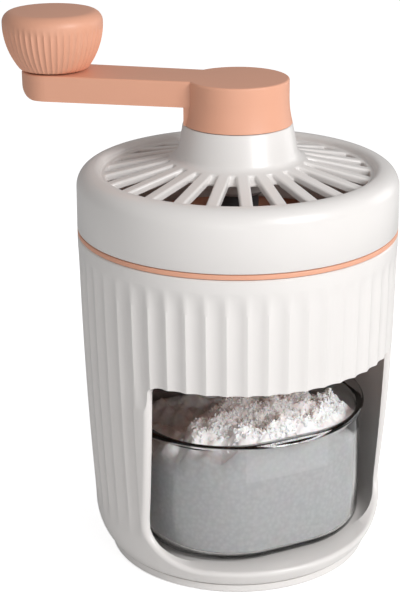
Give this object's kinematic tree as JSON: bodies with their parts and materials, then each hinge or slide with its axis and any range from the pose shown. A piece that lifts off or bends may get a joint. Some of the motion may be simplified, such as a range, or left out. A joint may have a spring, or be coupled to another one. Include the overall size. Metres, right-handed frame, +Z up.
{
  "type": "hand-cranked ice shaver",
  "caption": "Hand-cranked ice shaver: fluted tower with a cup window, lift-out ice hopper with a blade, slotted lid and a crank with a spinning knob.",
  "frame": {"origin": "centre of the body, on the table that the rubber pads stand on", "axes": "+Z up along the crank's axis, -Y out of the cup window, +X to the right seen from the front"},
  "size_m": [0.1295, 0.1176, 0.2007],
  "materials": {
    "white_abs": "warm white satin gloss",
    "peach_abs": "peach satin",
    "dark_acetal": "dark grey, smooth",
    "white_acetal": "natural white acetal",
    "steel": "stainless",
    "brass": "machined",
    "rubber": "grey rubber",
    "clear_cup": "grey-tinted clear plastic"
  },
  "bodies": {
    "housing": {"housing_shell": "white_abs", "base_cover": "white_abs", "foot_pads": "rubber", "base_screws": "steel"},
    "cup": {"shaved_ice_cup": "clear_cup"},
    "hopper": {"ice_hopper": "peach_abs", "floor_bush": "white_acetal", "shaving_blade": "steel", "blade_holder": "dark_acetal", "blade_screws": "steel"},
    "lid": {"lid_shell": "white_abs", "neck_bush": "white_acetal"},
    "crank": {"crank_arm": "peach_abs", "hub_insert": "brass", "thrust_washer": "steel", "drive_column": "dark_acetal", "shaft_clip": "steel", "drive_screw": "steel", "ice_rotor": "dark_acetal", "knob_pin": "steel"},
    "knob": {"knob_grip": "peach_abs", "knob_bush": "white_acetal"}
  },
  "joints": [
    {"name": "cup_slide", "type": "slide", "parent": "housing", "child": "cup", "axis": [0, -1, 0], "range_m": [0, 0.115]},
    {"name": "hopper_lift", "type": "slide", "parent": "housing", "child": "hopper", "axis": [0, 0, 1], "range_m": [0, 0.055]},
    {"name": "lid_lift", "type": "slide", "parent": "hopper", "child": "lid", "axis": [0, 0, 1], "range_m": [0, 0.055]},
    {"name": "crank_turn", "type": "hinge", "parent": "lid", "child": "crank", "pos_m": [0, 0, 0.163], "axis": [0, 0, 1], "continuous": true},
    {"name": "knob_spin", "type": "hinge", "parent": "crank", "child": "knob", "pos_m": [-0.05334, 0.04137, 0.18], "axis": [0, 0, 1], "continuous": true}
  ]
}
